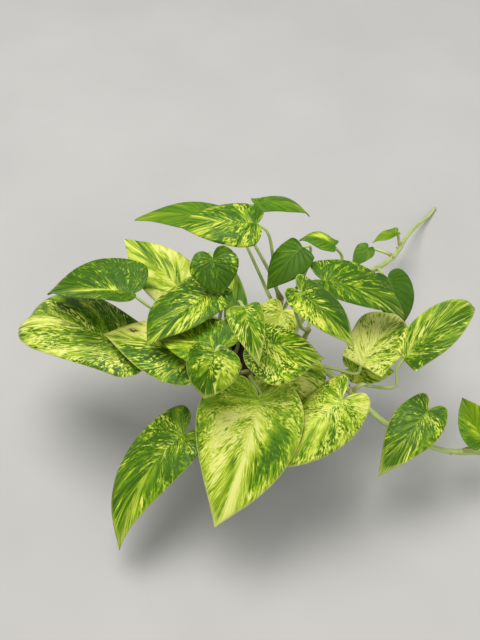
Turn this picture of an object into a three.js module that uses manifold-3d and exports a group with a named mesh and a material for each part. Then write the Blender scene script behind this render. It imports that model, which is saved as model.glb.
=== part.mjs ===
// A potted pothos: a thin black nursery pot, potting mix, rooted stems and heart-shaped variegated leaves,
// two of whose stems have grown long and trail out of the pot. Millimetres, +Z up, origin at the centre of
// the pot's flat base, +X to the viewer's right, +Y away from the viewer.
import * as THREE from "three";
import { mergeVertices } from "three/addons/utils/BufferGeometryUtils.js";
import Module from "manifold-3d";

const wasm = await Module();
wasm.setup();

// Pot: a thin moulded cone with a stepped rim band and drain holes round the foot.
const POT_HEIGHT = 90;
const POT_BASE_RADIUS = 35;
const POT_NECK_RADIUS = 46.6;
const POT_RIM_RADIUS = 51;
const POT_RIM_BAND = 11;
const POT_WALL = 1.4;
const POT_FLOOR = 2;
const POT_DRAFT = 0.2;
const FOOT_ROUND = 1.2;
const RIM_STEP = 1;
const RIM_THICKNESS = 1.6;
const RIM_ROUND = 0.8;
const POT_SIDES = 36;
const DRAIN_HOLES = 6;
const DRAIN_HOLE_RADIUS = 4.5;
const DRAIN_HOLE_HEIGHT = 7;
const DRAIN_HOLE_SIDES = 10;
const DRAIN_HOLE_INSET = 2;

// Potting mix: fills the pot to a little under the rim, with a lumpy top.
const SOIL_TOP = 77;
const SOIL_LUMP = 1.6;
const SOIL_RINGS = 3;
const LUMP_WIDTH = 3.4;
const FINE_LUMP_WIDTH = 2;
const FINE_LUMP_SHARE = 0.6;
const FIT_GAP = 0.35;

// Leaf blades: the right half of the margin, from the notch round the lobe to the tip, as shares of the
// blade's length from notch to tip and of its half width.
const MARGIN = [
  [0, 0],
  [-0.07, 0.12],
  [-0.125, 0.34],
  [-0.1, 0.66],
  [0.04, 0.91],
  [0.22, 1],
  [0.44, 0.92],
  [0.66, 0.66],
  [0.84, 0.33],
  [0.94, 0.12],
  [1, 0],
];
const BLADE_THICKNESS = 0.7;
const BLADE_ROWS = 8;
const BLADE_COLUMNS = 3;
const SMALL_BLADE = 48;
const SMALL_BLADE_COLUMNS = 2;
const SINUS_SHARE = 0.13;
const RIB_CROWDING = 1.8;
const RIB_SWEEP = 1.35;
const DROOP_POWER = 1.25;
const MIDRIB_STEPS = 16;
const TAPER_POWER = 1.5;
const LOBE_LIFT = 8;
const WAVES_PER_SIDE = 2.3;
const WAVE_HEIGHT = 1.2;

// Petioles: the leaf stalks, which carry on under the blade as a keel.
const PETIOLE_ROOT_RADIUS = 1.7;
const PETIOLE_TOP_RADIUS = 1.15;
const PETIOLE_SIDES = 5;
const PETIOLE_STEPS = 8;
const LEAVE_SLOPE = 0.5;
const LEAVE_RISE = 0.6;
const LEAVE_SHARE = 0.22;
const KNEE_BACK = 0.12;
const KNEE_DROP = 0.1;
const KEEL_ROWS = [2, 4, 6];
const KEEL_END_RADIUS = 0.35;
const KEEL_SINK = 0.12;

// Stems: each with the points of its centre line, from its cut foot in the mix to its growing end.
const STEM_RADIUS = 2.5;
const STEM_END_RADIUS = 1.5;
const STEM_SIDES = 8;
const NODE_SWELL = 0.22;
const NODE_LENGTH = 5;
const STEM_STEP = 11;
const STEMS = {
  stem_left: [[-19, 5, 50], [-20, 7, 77], [-25, 16, 95], [-30, 16, 112]],
  stem_back_left: [[-10, 30, 50], [-11, 31, 77], [-15, 45, 98], [-18, 54, 118]],
  stem_back: [[12, 32, 50], [12, 34, 77], [14, 49, 98], [17, 59, 116]],
  stem_front: [[-6, -15, 50], [-6, -14, 77], [-9, -6, 94], [-12, -9, 106]],
  stem_front_right: [[26, -2, 50], [27, 0, 77], [29, 9, 92], [31, 10, 105]],
  stem_right: [[29, 16, 50], [30, 17, 77], [34, 27, 98], [38, 26, 116]],
  vine_right: [
    [34, -4, 50], [35, -3, 77], [46, 1, 96], [66, -9, 88], [90, -21, 67], [104, -31, 62], [142, -50, 57],
    [180, -47, 46], [212, -40, 31], [240, -26, 11], [258, -12, 1.9],
  ],
  vine_back: [
    [20, 26, 50], [22, 28, 77], [27, 40, 94], [39, 58, 99], [60, 84, 98], [90, 117, 84], [111, 142, 66],
    [124, 162, 54], [135, 182, 43], [154, 226, 24], [173, 260, 10], [185, 276, 4], [195, 292, 1.9],
  ],
};

// Leaves: "from" is how far along its stem the stalk leaves it, "via" the points that the stalk passes and
// "at" the notch, where it meets the blade. "heading" is the way the tip points seen from above (0 is +X,
// 90 is +Y), "pitch" the slope of the midrib at the notch, "droop" how far it bends down by the tip,
// "hang" how late it does so, "sway" how far it bends sideways, and "roll" how far the blade's left side
// is raised. "fold" is the slope of each half beside the midrib and "curl" how far the halves bend back
// down. "lobe" scales the lobes behind the notch, "taper" narrows the tip end, "blunt" fills it out, and
// "skew" widens the left half and narrows the right.
const LEAVES = [
  {
    name: "leaf_back_1", stem: "stem_back", from: 0.8, at: [-31.1, 119.8, 150.5],
    heading: 167, pitch: 1, droop: 30, roll: 6, length: 84, width: 38, fold: 10, curl: 24,
    via: [[-2, 90, 116]],
  },
  {
    name: "leaf_back_2", stem: "stem_back", from: 1, at: [-4.1, 86.2, 177.6],
    heading: 175, pitch: 5, droop: 34, roll: -8, length: 67, width: 46, fold: 8, curl: 40, lobe: 0.5,
    via: [[10, 77, 136]],
  },
  {
    name: "leaf_back_3", stem: "stem_back", from: 0.88, at: [-4, 133, 156],
    heading: 11, pitch: 6, droop: 66, roll: -12, length: 54, width: 28, fold: 8, curl: 40, lobe: 0.5,
  },
  {
    name: "leaf_top_1", stem: "stem_back_left", from: 0.8, at: [-38.9, 36.6, 189.4],
    heading: -74, pitch: -32, droop: 34, roll: 14, length: 30, width: 39, fold: 12, curl: 20,
    lobe: 1.8, taper: 0.2,
  },
  {
    name: "leaf_top_2", stem: "stem_left", from: 1, at: [-36.8, 25, 164.5],
    heading: -143, pitch: 1, droop: 34, roll: 6, length: 69, width: 60, fold: 14, curl: 46, skew: -0.3,
  },
  {
    name: "leaf_back_4", stem: "stem_back_left", from: 0.6, at: [-61, 52, 128],
    heading: 137, pitch: 18, droop: 16, roll: 0, length: 77, width: 50, fold: 10, curl: 16,
  },
  {
    name: "leaf_left_1", stem: "stem_left", from: 0.8, at: [-101.8, 33.7, 151.5],
    heading: 162, pitch: -2, droop: 34, roll: 12, length: 82, width: 66, fold: 26, curl: 8, lobe: 0.6,
    skew: 0.05,
  },
  {
    name: "leaf_left_2", stem: "stem_left", from: 0.56, at: [-100.7, -2.4, 122],
    heading: 150, pitch: 3, droop: 70, hang: 3, roll: 0, length: 124, width: 60, fold: 10, curl: 26,
    lobe: 1, taper: -1, blunt: 0.5,
  },
  {
    name: "leaf_left_3", stem: "stem_left", from: 0.68, at: [-51.1, -17.8, 135.4],
    heading: 161, pitch: 5, droop: 20, roll: -8, length: 81, width: 60, fold: 12, curl: 20,
    taper: 0.35,
  },
  {
    name: "leaf_front_1", stem: "stem_front", from: 1, at: [-35.6, -40, 172.2],
    heading: -112, pitch: -32, droop: 44, roll: 0, length: 38, width: 43, fold: 8, curl: 40, lobe: 0.8,
    via: [[-18, -26, 138]],
  },
  {
    name: "leaf_left_4", stem: "stem_left", from: 0.92, at: [-31.7, -26.9, 155.6],
    heading: 149, pitch: -6, droop: 20, roll: 0, length: 60, width: 46, fold: 16, curl: 10,
  },
  {
    name: "leaf_top_3", stem: "stem_back_left", from: 0.5, at: [-15, -10, 186],
    heading: -73, pitch: -20, droop: 34, roll: 0, length: 46, width: 29, fold: 22, curl: 30,
    lobe: 0.25, taper: 0.5, skew: -0.1,
  },
  {
    name: "leaf_top_4", stem: "stem_front_right", from: 1, at: [-1, -15, 150],
    heading: 1, pitch: -12, droop: 24, roll: 0, length: 53, width: 60, fold: 10, curl: 20, lobe: 2.4,
    taper: 0.5, skew: -0.3,
  },
  {
    name: "leaf_back_5", stem: "stem_back", from: 0.7, at: [17, 36, 128],
    heading: -134, pitch: -34, droop: 20, roll: 0, length: 40, width: 38, fold: 14, curl: 20,
  },
  {
    name: "leaf_right_1", stem: "stem_right", from: 1, at: [28.8, 18, 170.2],
    heading: -32, pitch: -17, droop: 36, roll: -8, length: 60, width: 42, fold: 14, curl: 34,
    lobe: 1.4, taper: 0.2,
  },
  {
    name: "leaf_right_2", stem: "stem_right", from: 0.82, at: [48.4, 53.4, 146.3],
    heading: -8, pitch: -3, droop: 62, roll: 6, length: 87, width: 42, fold: 16, curl: 30, skew: 0.14,
  },
  {
    name: "leaf_right_3", stem: "vine_right", from: 0.155, at: [80, 3, 98],
    heading: 57, pitch: 10, droop: 24, roll: 4, length: 66, width: 43, fold: 10, curl: 20, lobe: 0.1,
    taper: -0.8, blunt: 0.6, skew: -0.05,
  },
  {
    name: "leaf_right_4", stem: "vine_right", from: 0.27, at: [111, -5, 118],
    heading: 33, pitch: 30, droop: 80, hang: 5, roll: 0, length: 75, width: 37, fold: 20, curl: 10,
    lobe: 0.1, taper: -0.3, blunt: 0.4, skew: -0.15, via: [[88, -4, 80], [107, -13, 92]],
  },
  {
    name: "leaf_right_5", stem: "vine_right", from: 0.23, at: [74.3, 17.6, 75.3],
    heading: 5, pitch: -5, droop: 20, roll: 0, length: 41, width: 34, fold: 10, curl: 20,
  },
  {
    name: "leaf_vine_back_1", stem: "vine_back", from: 0.5, at: [113, 106, 92],
    heading: -70, pitch: -17, droop: 40, roll: 0, length: 46, width: 42, fold: 8, curl: 30,
  },
  {
    name: "leaf_vine_back_2", stem: "vine_back", from: 0.62, at: [107, 182, 52],
    heading: -139, pitch: -20, droop: 26, roll: 0, length: 23, width: 20, fold: 10, curl: 20,
  },
  {
    name: "leaf_vine_back_3", stem: "vine_back", from: 0.7, at: [138, 209, 46],
    heading: -161, pitch: -4, droop: 20, roll: 0, length: 26, width: 13, fold: 20, curl: 10,
  },
  {
    name: "leaf_back_6", stem: "stem_back", from: 0.7, at: [32.9, 77.9, 159.2],
    heading: -143, pitch: -25, droop: 30, roll: 0, length: 46, width: 35, fold: 8, curl: 30, lobe: 0.2,
    via: [[37, 79, 128]],
  },
  {
    name: "leaf_back_7", stem: "vine_back", from: 0.13, at: [61, 92, 147],
    heading: 163, pitch: 32, droop: 80, roll: 8, length: 33, width: 22, fold: 8, curl: 40, lobe: 0.5,
  },
  {
    name: "leaf_front_2", stem: "stem_front", from: 0.75, at: [19.2, -12.4, 118.3],
    heading: -75, pitch: -29, droop: 30, roll: 0, length: 42, width: 58, fold: 10, curl: 20,
  },
  {
    name: "leaf_front_3", stem: "stem_front", from: 0.65, at: [-61.1, -55.7, 88.2],
    heading: -148, pitch: -20, droop: 34, sway: 38, roll: 4, length: 107, width: 60, fold: 10,
    curl: 30, taper: 0.35, skew: -0.12, via: [[-36, -38, 98]],
  },
  {
    name: "leaf_front_4", stem: "stem_front", from: 0.86, at: [-3.3, -46.7, 124.3],
    heading: -104, pitch: -27, droop: 22, sway: -16, roll: -2, length: 105, width: 84, fold: 6,
    curl: 16, taper: 0.3, skew: -0.08, via: [[-10, -24, 119]],
  },
  {
    name: "leaf_front_5", stem: "vine_right", from: 0.3, at: [59.5, -47.2, 122.8],
    heading: -143, pitch: -16, droop: 16, roll: 0, length: 80, width: 62, fold: 0, curl: 56, lobe: 1.5,
    skew: -0.1,
  },
  {
    name: "leaf_vine_right_1", stem: "vine_right", from: 0.44, at: [131, -34, 88],
    heading: -133, pitch: -18, droop: 20, roll: 0, length: 66, width: 42, fold: 8, curl: 26, lobe: 1.2,
    taper: 0.3,
  },
  {
    name: "leaf_vine_right_2", stem: "vine_right", from: 0.62, at: [178, -46, 62],
    heading: 114, pitch: 25, droop: 16, roll: -20, length: 39, width: 32, fold: 30, curl: 10,
  },
  {
    name: "leaf_back_8", stem: "stem_left", from: 0.72, at: [-20.5, 18, 127],
    heading: 92, pitch: 15, droop: 14, roll: -10, length: 56, width: 20, fold: 12, curl: 20, lobe: 0.2,
  },
];

const degrees = THREE.MathUtils.degToRad;
const UP = new THREE.Vector3(0, 0, 1);

// A closed geometry as a solid that can be joined and cut.
function solidOf(geometry) {
  const loose = geometry.index ? geometry.toNonIndexed() : geometry;
  const bare = new THREE.BufferGeometry().setAttribute("position", loose.getAttribute("position"));
  const merged = mergeVertices(bare, 1e-4);
  return new wasm.Manifold(
    new wasm.Mesh({
      numProp: 3,
      vertProperties: new Float32Array(merged.attributes.position.array),
      triVerts: new Uint32Array(merged.index.array),
    }),
  );
}

// A solid's largest body as a named mesh.
function meshOf(solid, name, material) {
  const [largest] = solid.decompose().sort((a, b) => b.volume() - a.volume());
  const { vertProperties, triVerts } = largest.getMesh();
  const geometry = new THREE.BufferGeometry();
  geometry.setAttribute("position", new THREE.BufferAttribute(vertProperties, 3));
  geometry.setIndex(new THREE.BufferAttribute(triVerts, 1));
  geometry.computeVertexNormals();
  const mesh = new THREE.Mesh(geometry, material);
  mesh.name = name;
  return mesh;
}

// A round tube through points, with a radius at each, closed at both ends.
function tube(points, radii, sides) {
  const positions = [];
  const faces = [];
  const across = new THREE.Vector3(0, 1, 0);
  points.forEach((point, i) => {
    const before = points[Math.max(i - 1, 0)];
    const after = points[Math.min(i + 1, points.length - 1)];
    const along = after.clone().sub(before).normalize();
    across.addScaledVector(along, -across.dot(along)).normalize();
    const beside = new THREE.Vector3().crossVectors(along, across);
    for (let k = 0; k < sides; k++) {
      const angle = (2 * Math.PI * k) / sides;
      const corner = point.clone();
      corner.addScaledVector(across, radii[i] * Math.cos(angle));
      corner.addScaledVector(beside, radii[i] * Math.sin(angle));
      positions.push(...corner.toArray());
    }
  });
  const last = (points.length - 1) * sides;
  for (let k = 0; k < sides; k++) {
    const next = (k + 1) % sides;
    for (let i = 0; i < points.length - 1; i++) {
      const low = i * sides;
      const high = low + sides;
      faces.push(low + k, low + next, high + next, low + k, high + next, high + k);
    }
    if (k > 0 && k < sides - 1) {
      faces.push(0, next, k, last, last + k, last + next);
    }
  }
  const geometry = new THREE.BufferGeometry();
  geometry.setAttribute("position", new THREE.Float32BufferAttribute(positions, 3));
  geometry.setIndex(faces);
  return geometry;
}

// The blade's frame at its notch: along the midrib, to the left of it, and out of the upper face.
function notchFrame(leaf) {
  const heading = degrees(leaf.heading);
  const pitch = degrees(leaf.pitch);
  const along = new THREE.Vector3(
    Math.cos(pitch) * Math.cos(heading),
    Math.cos(pitch) * Math.sin(heading),
    Math.sin(pitch),
  );
  const left = new THREE.Vector3().crossVectors(UP, along).normalize();
  left.applyAxisAngle(along, degrees(leaf.roll));
  return { along, left, out: new THREE.Vector3().crossVectors(along, left) };
}

// The midrib's point and frame at a distance from the notch. Behind the notch it is the line that the
// lobes follow.
function midribFrame(leaf, distance) {
  const { along, left, out } = notchFrame(leaf);
  const point = new THREE.Vector3(...leaf.at);
  if (distance <= 0) {
    const lift = degrees(LOBE_LIFT);
    point.addScaledVector(along, distance * Math.cos(lift));
    point.addScaledVector(out, -distance * Math.sin(lift));
    return { point, along, left, out };
  }
  const directionAt = (share) => {
    const bend = degrees(leaf.droop) * share ** (leaf.hang ?? DROOP_POWER);
    const turn = degrees(leaf.sway ?? 0) * share;
    const level = along.clone().multiplyScalar(Math.cos(turn)).addScaledVector(left, Math.sin(turn));
    const across = left.clone().multiplyScalar(Math.cos(turn)).addScaledVector(along, -Math.sin(turn));
    const forward = level.multiplyScalar(Math.cos(bend)).addScaledVector(out, -Math.sin(bend));
    return { forward, across };
  };
  const step = distance / MIDRIB_STEPS;
  for (let i = 0; i < MIDRIB_STEPS; i++) {
    point.addScaledVector(directionAt(((i + 0.5) * step) / leaf.length).forward, step);
  }
  const { forward, across } = directionAt(distance / leaf.length);
  return { point, along: forward, left: across, out: new THREE.Vector3().crossVectors(forward, across) };
}

const marginCurve = new THREE.CatmullRomCurve3(MARGIN.map(([x, y]) => new THREE.Vector3(x, y, 0)));

// How far along the midrib the lateral rib of a row leaves it.
function ribRoot(leaf, row) {
  return leaf.length * row ** RIB_CROWDING;
}

// A point of the flat blade: "row" runs from the sinus at 0 to the tip at 1, "column" from the midrib at 0
// to the margin at 1. It gives the distance along the midrib and the distance out from it.
function flatPoint(leaf, row, column, side) {
  const lobe = leaf.lobe ?? 1;
  const half = (leaf.width / 2) * (1 + side * (leaf.skew ?? 0));
  const atMargin = (t) => {
    const { x, y } = marginCurve.getPoint(t);
    const narrowing = 1 - (leaf.taper ?? 0) * Math.max(x, 0) ** TAPER_POWER;
    const forward = x < 0 ? x * lobe : x ** (1 / (1 + (leaf.blunt ?? 0)));
    return [leaf.length * forward, half * y * narrowing];
  };
  if (row === 0) return atMargin(SINUS_SHARE * column);
  const root = ribRoot(leaf, row);
  const [along, out] = atMargin(SINUS_SHARE + (1 - SINUS_SHARE) * row);
  return [root + (along - root) * column ** RIB_SWEEP, out * column];
}

// A point of the bent blade's middle surface and the way out of its upper face there. "side" is 1 for the
// left half.
function bladePoint(leaf, row, column, side) {
  const [distance, reach] = flatPoint(leaf, row, column, side);
  const { point, left, out } = midribFrame(leaf, distance);
  const half = leaf.width / 2;
  const fold = degrees(leaf.fold);
  const curl = degrees(leaf.curl);
  const slope = fold - (curl * reach) / half;
  const phase = 2 * Math.PI * WAVES_PER_SIDE * row + 2 * side + leaf.length;
  const wave = WAVE_HEIGHT * column ** 2 * Math.sqrt(1 - row) * Math.sin(phase);
  point.addScaledVector(left, (side * half * (Math.sin(fold) - Math.sin(slope))) / curl);
  point.addScaledVector(out, (half * (Math.cos(slope) - Math.cos(fold))) / curl + wave);
  const normal = out.clone().multiplyScalar(Math.cos(slope)).addScaledVector(left, -side * Math.sin(slope));
  return { point, normal };
}

// The blade: rows of points from the left margin over the midrib to the right margin, and one point at the
// tip, split into triangles alike on both faces and joined by a band round the margin.
function bladeGeometry(leaf) {
  const columns = leaf.length < SMALL_BLADE ? SMALL_BLADE_COLUMNS : BLADE_COLUMNS;
  const perRow = 2 * columns + 1;
  const surface = [];
  for (let i = 0; i < BLADE_ROWS; i++) {
    for (let j = 0; j < perRow; j++) {
      const across = (j - columns) / columns;
      surface.push(bladePoint(leaf, i / BLADE_ROWS, Math.abs(across), across < 0 ? 1 : -1));
    }
  }
  surface.push(bladePoint(leaf, 1, 0, 1));
  const count = surface.length;
  const positions = [1, -1].flatMap((face) =>
    surface.flatMap(({ point, normal }) =>
      point.clone().addScaledVector(normal, (face * BLADE_THICKNESS) / 2).toArray(),
    ),
  );
  const faces = [];
  const bothFaces = (a, b, c) => faces.push(a, b, c, count + a, count + c, count + b);
  const band = (a, b) => faces.push(a, count + a, b, b, count + a, count + b);
  for (let i = 0; i < BLADE_ROWS; i++) {
    const low = i * perRow;
    const high = low + perRow;
    for (let j = 0; j < perRow - 1; j++) {
      if (i === BLADE_ROWS - 1) bothFaces(low + j, low + j + 1, count - 1);
      else if (j < columns) {
        bothFaces(low + j, low + j + 1, high + j);
        bothFaces(low + j + 1, high + j + 1, high + j);
      } else {
        bothFaces(low + j, high + j + 1, high + j);
        bothFaces(low + j, low + j + 1, high + j + 1);
      }
      if (i === 0) band(j, j + 1);
    }
    const nextLeft = i === BLADE_ROWS - 1 ? count - 1 : high;
    const nextRight = i === BLADE_ROWS - 1 ? count - 1 : high + perRow - 1;
    band(nextLeft, low);
    band(low + perRow - 1, nextRight);
  }
  const geometry = new THREE.BufferGeometry();
  geometry.setAttribute("position", new THREE.Float32BufferAttribute(positions, 3));
  geometry.setIndex(faces);
  return geometry;
}

// The stalk: out of its stem, up to a knee behind the notch and over it, then on under the midrib as a
// keel.
function petioleGeometry(leaf) {
  const curve = stemCurves[leaf.stem];
  const root = curve.getPointAt(leaf.from);
  const { point: notch, along, out } = midribFrame(leaf, 0);
  const underNotch = notch.clone().addScaledVector(out, -(PETIOLE_TOP_RADIUS + KEEL_SINK));
  const span = underNotch.distanceTo(root);
  const leave = underNotch.clone().sub(root);
  const rise = Math.max(leave.z, 0) / span;
  leave.setZ(0).normalize().setZ(LEAVE_SLOPE + LEAVE_RISE * rise).normalize();
  const knee = underNotch.clone().addScaledVector(along, -KNEE_BACK * span);
  knee.addScaledVector(UP, -KNEE_DROP * span);
  const via = (leaf.via ?? []).map((p) => new THREE.Vector3(...p));
  const path = new THREE.CatmullRomCurve3(
    [root, root.clone().addScaledVector(leave, LEAVE_SHARE * span), ...via, knee, underNotch],
    false,
    "centripetal",
  );
  const points = path.getSpacedPoints(PETIOLE_STEPS);
  const radii = points.map((_, i) =>
    THREE.MathUtils.lerp(PETIOLE_ROOT_RADIUS, PETIOLE_TOP_RADIUS, i / PETIOLE_STEPS),
  );
  KEEL_ROWS.forEach((row, i) => {
    const radius = THREE.MathUtils.lerp(PETIOLE_TOP_RADIUS, KEEL_END_RADIUS, (i + 1) / KEEL_ROWS.length);
    const under = midribFrame(leaf, ribRoot(leaf, row / BLADE_ROWS));
    points.push(under.point.addScaledVector(under.out, -(radius + KEEL_SINK)));
    radii.push(radius);
  });
  return tube(points, radii, PETIOLE_SIDES);
}

const stemCurves = Object.fromEntries(
  Object.entries(STEMS).map(([name, points]) => [
    name,
    new THREE.CatmullRomCurve3(points.map((p) => new THREE.Vector3(...p)), false, "centripetal"),
  ]),
);

// A stem with its nodes swollen where leaves leave it. "extra" fattens and lengthens it, for cutting its
// neighbours clear of it.
function stemGeometry(name, extra = 0) {
  const curve = stemCurves[name];
  const length = curve.getLength();
  const steps = Math.ceil(length / STEM_STEP);
  const nodes = LEAVES.filter((leaf) => leaf.stem === name).map((leaf) => leaf.from);
  const points = curve.getSpacedPoints(steps);
  const radii = points.map((_, i) => {
    const share = i / steps;
    const reaches = nodes.map((node) => ((share - node) * length) / NODE_LENGTH);
    const swell = Math.max(0, ...reaches.map((reach) => Math.exp(-(reach ** 2))));
    const plain = THREE.MathUtils.lerp(STEM_RADIUS, STEM_END_RADIUS, share ** 2);
    return plain * (1 + NODE_SWELL * swell) + extra;
  });
  points[0].addScaledVector(curve.getTangentAt(0), -extra);
  points[steps].addScaledVector(curve.getTangentAt(1), extra);
  return tube(points, radii, STEM_SIDES);
}

// The pot: its wall turned in one piece, with holes cut through the foot where the wall meets the floor.
function potSolid() {
  const bandFoot = POT_HEIGHT - POT_RIM_BAND;
  const bandInner = POT_RIM_RADIUS - RIM_THICKNESS;
  const profile = [
    [0, 0],
    [POT_BASE_RADIUS, 0],
    [POT_BASE_RADIUS + FOOT_ROUND, FOOT_ROUND],
    [POT_NECK_RADIUS, bandFoot - RIM_STEP],
    [bandInner, bandFoot],
    [POT_RIM_RADIUS, POT_HEIGHT - RIM_ROUND],
    [POT_RIM_RADIUS - RIM_ROUND, POT_HEIGHT],
    [bandInner, POT_HEIGHT - RIM_ROUND],
    [bandInner - POT_WALL, bandFoot + POT_WALL],
    [POT_NECK_RADIUS - POT_WALL, bandFoot],
    [POT_BASE_RADIUS - POT_DRAFT, POT_FLOOR],
    [0, POT_FLOOR],
  ];
  const points = profile.map(([r, z]) => new THREE.Vector2(r, z));
  let pot = solidOf(new THREE.LatheGeometry(points, POT_SIDES).rotateX(Math.PI / 2));
  const reach = POT_BASE_RADIUS - DRAIN_HOLE_INSET;
  for (let i = 0; i < DRAIN_HOLES; i++) {
    const angle = (2 * Math.PI * (i + 0.5)) / DRAIN_HOLES;
    const hole = new THREE.CylinderGeometry(
      DRAIN_HOLE_RADIUS,
      DRAIN_HOLE_RADIUS,
      2 * DRAIN_HOLE_HEIGHT,
      DRAIN_HOLE_SIDES,
    );
    hole.rotateX(Math.PI / 2).translate(reach * Math.cos(angle), reach * Math.sin(angle), 0);
    pot = pot.subtract(solidOf(hole));
  }
  return pot;
}

// The mix: a plug that fills the pot, its top raised in lumps by a sum of waves, with a hole for each stem.
function soilSolid() {
  const bottom = POT_FLOOR + FIT_GAP;
  const wallFoot = POT_BASE_RADIUS - POT_DRAFT;
  const slope = (POT_NECK_RADIUS - POT_WALL - wallFoot) / (POT_HEIGHT - POT_RIM_BAND - POT_FLOOR);
  const footRadius = wallFoot - FIT_GAP;
  const shoulder = SOIL_TOP - SOIL_LUMP;
  const topRadius = footRadius + slope * (shoulder - bottom);
  const profile = [[0, bottom], [footRadius, bottom], [topRadius, shoulder]];
  for (let ring = SOIL_RINGS - 1; ring >= 0; ring--) {
    profile.push([(topRadius * ring) / SOIL_RINGS, SOIL_TOP]);
  }
  const points = profile.map(([r, z]) => new THREE.Vector2(r, z));
  const plug = new THREE.LatheGeometry(points, POT_SIDES).rotateX(Math.PI / 2);
  const position = plug.getAttribute("position");
  for (let i = 0; i < position.count; i++) {
    if (position.getZ(i) < (SOIL_TOP + shoulder) / 2) continue;
    const x = position.getX(i);
    const y = position.getY(i);
    const broad = Math.sin(x / LUMP_WIDTH + 1) * Math.sin(y / LUMP_WIDTH);
    const fine = FINE_LUMP_SHARE * Math.sin((x - y) / FINE_LUMP_WIDTH);
    position.setZ(i, SOIL_TOP + (SOIL_LUMP / 2) * (broad + fine));
  }
  let soil = solidOf(plug);
  for (const name of Object.keys(STEMS)) soil = soil.subtract(solidOf(stemGeometry(name, FIT_GAP)));
  return soil;
}

// A leaf: blade and stalk in one, cut clear of the stem that the stalk sits on.
function leafSolid(leaf) {
  const whole = solidOf(bladeGeometry(leaf)).add(solidOf(petioleGeometry(leaf)));
  return whole.subtract(solidOf(stemGeometry(leaf.stem, FIT_GAP)));
}

const plant = new THREE.Group();
plant.name = "potted_pothos";

const potPlastic = new THREE.MeshStandardMaterial({ color: 0x1c1c1d, roughness: 0.55, metalness: 0 });
const pottingMix = new THREE.MeshStandardMaterial({ color: 0x3a2c22, roughness: 0.95, metalness: 0 });
const stemGreen = new THREE.MeshStandardMaterial({ color: 0xa9c66a, roughness: 0.5, metalness: 0 });
const leafGreen = new THREE.MeshStandardMaterial({ color: 0x7fb02f, roughness: 0.4, metalness: 0 });

plant.add(meshOf(potSolid(), "pot", potPlastic));
plant.add(meshOf(soilSolid(), "potting_mix", pottingMix));
for (const name of Object.keys(STEMS)) plant.add(meshOf(solidOf(stemGeometry(name)), name, stemGreen));
for (const leaf of LEAVES) plant.add(meshOf(leafSolid(leaf), leaf.name, leafGreen));

export default plant;
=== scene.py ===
# A potted pothos: a thin black nursery pot, potting mix, rooted stems and heart-shaped, variegated
# leaves. Two of the stems have grown long and trail out of the pot. Blender works in metres, and
# the plant's own tables are in millimetres, with +Z up and the origin at the centre of the pot's
# flat base.
import math
import random

import bmesh
import bpy
import numpy as np
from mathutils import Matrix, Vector, noise


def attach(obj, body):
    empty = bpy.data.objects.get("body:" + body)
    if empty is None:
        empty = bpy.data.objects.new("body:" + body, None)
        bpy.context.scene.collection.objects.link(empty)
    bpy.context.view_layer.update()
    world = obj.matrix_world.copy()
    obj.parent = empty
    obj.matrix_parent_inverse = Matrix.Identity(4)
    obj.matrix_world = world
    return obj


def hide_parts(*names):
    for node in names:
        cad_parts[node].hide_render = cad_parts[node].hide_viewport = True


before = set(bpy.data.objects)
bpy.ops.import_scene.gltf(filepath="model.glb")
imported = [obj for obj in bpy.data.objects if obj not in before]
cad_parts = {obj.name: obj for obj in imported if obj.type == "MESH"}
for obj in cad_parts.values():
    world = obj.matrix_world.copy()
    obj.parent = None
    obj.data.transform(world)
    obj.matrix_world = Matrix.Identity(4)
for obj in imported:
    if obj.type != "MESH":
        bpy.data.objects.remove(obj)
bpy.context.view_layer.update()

MM = 0.001

# Pot
POT_HEIGHT = 90
POT_BASE_RADIUS = 35
POT_NECK_RADIUS = 46.6
POT_RIM_RADIUS = 51
POT_RIM_BAND = 11
POT_WALL = 1.4
POT_FLOOR = 2
POT_DRAFT = 0.2
FOOT_ROUND = 1.2
RIM_STEP = 1
RIM_THICKNESS = 1.6
RIM_ROUND = 0.8
POT_SIDES = 144
ROUND_STEPS = 5
HOLES = 6
HOLE_RADIUS = 4.5
HOLE_HEIGHT = 7
HOLE_SIDES = 32
HOLE_INSET = 2
SHARP_ANGLE = math.radians(40)

# Potting mix, with bits of bark and perlite on it
SOIL_TOP = 77
SOIL_LUMP = 1.6
SOIL_RINGS = 44
SOIL_SIDES = 120
LUMP_WIDTH = 3.4
LUMP_SHARE = 0.6
FINE_LUMP_WIDTH = 2
FINE_LUMP_SHARE = 0.6
CRUMB_WIDTH = 2.2
CRUMB_HEIGHT = 0.9
FINE_CRUMB_SHARE = 0.5
BARK_BITS = 130
BARK_SHAPE = (1.6, 0.7, 0.45)
PERLITE_BITS = 45
PERLITE_SHAPE = (0.8, 0.75, 0.65)
BIT_SIZES = (0.8, 2.4)
BIT_MARGIN = 3
BIT_LIFT = 0.15
BIT_DENTS = 0.25
DENTS_PER_BIT = 1.7
BITS_SEED = 8
FIT_GAP = 0.35

# Blades. MARGIN is half a blade's outline from the notch to the tip, as shares of its length along
# the midrib and of its half width out from it.
MARGIN = [
    (0, 0), (-0.07, 0.12), (-0.125, 0.34), (-0.1, 0.66), (0.04, 0.91), (0.22, 1), (0.44, 0.92),
    (0.66, 0.66), (0.84, 0.33), (0.94, 0.12), (1, 0),
]
MARGIN_SAMPLES = 2000
BLADE_THICKNESS = 0.7
RIM_THINNING = 0.45
RIM_POWER = 6
BLADE_ROWS = 88
BLADE_COLUMNS = 16
COLUMN_CROWDING = 1.35
SINUS_SHARE = 0.13
RIB_CROWDING = 3.1
RIB_SWEEP = 1.2
MIDRIB_STEPS = 16
TAPER_POWER = 1.5
LOBE_LIFT = 8
WAVES_PER_SIDE = 2.3
WAVE_HEIGHT = 1.2
WAVE_OFFSET = 2
FULL_RELIEF_WIDTH = 50
RIBS_PER_SIDE = 11
RIB_OFFSET = 1.3
RIB_SHARPNESS = 3
RIB_DEPTH = 0.55
# How much darker the blade is along its sunk side ribs: partly the veins' own colour, partly
# painted shade in the grooves.
RIB_VEIN_AND_PAINTED_SHADE = 0.1
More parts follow.
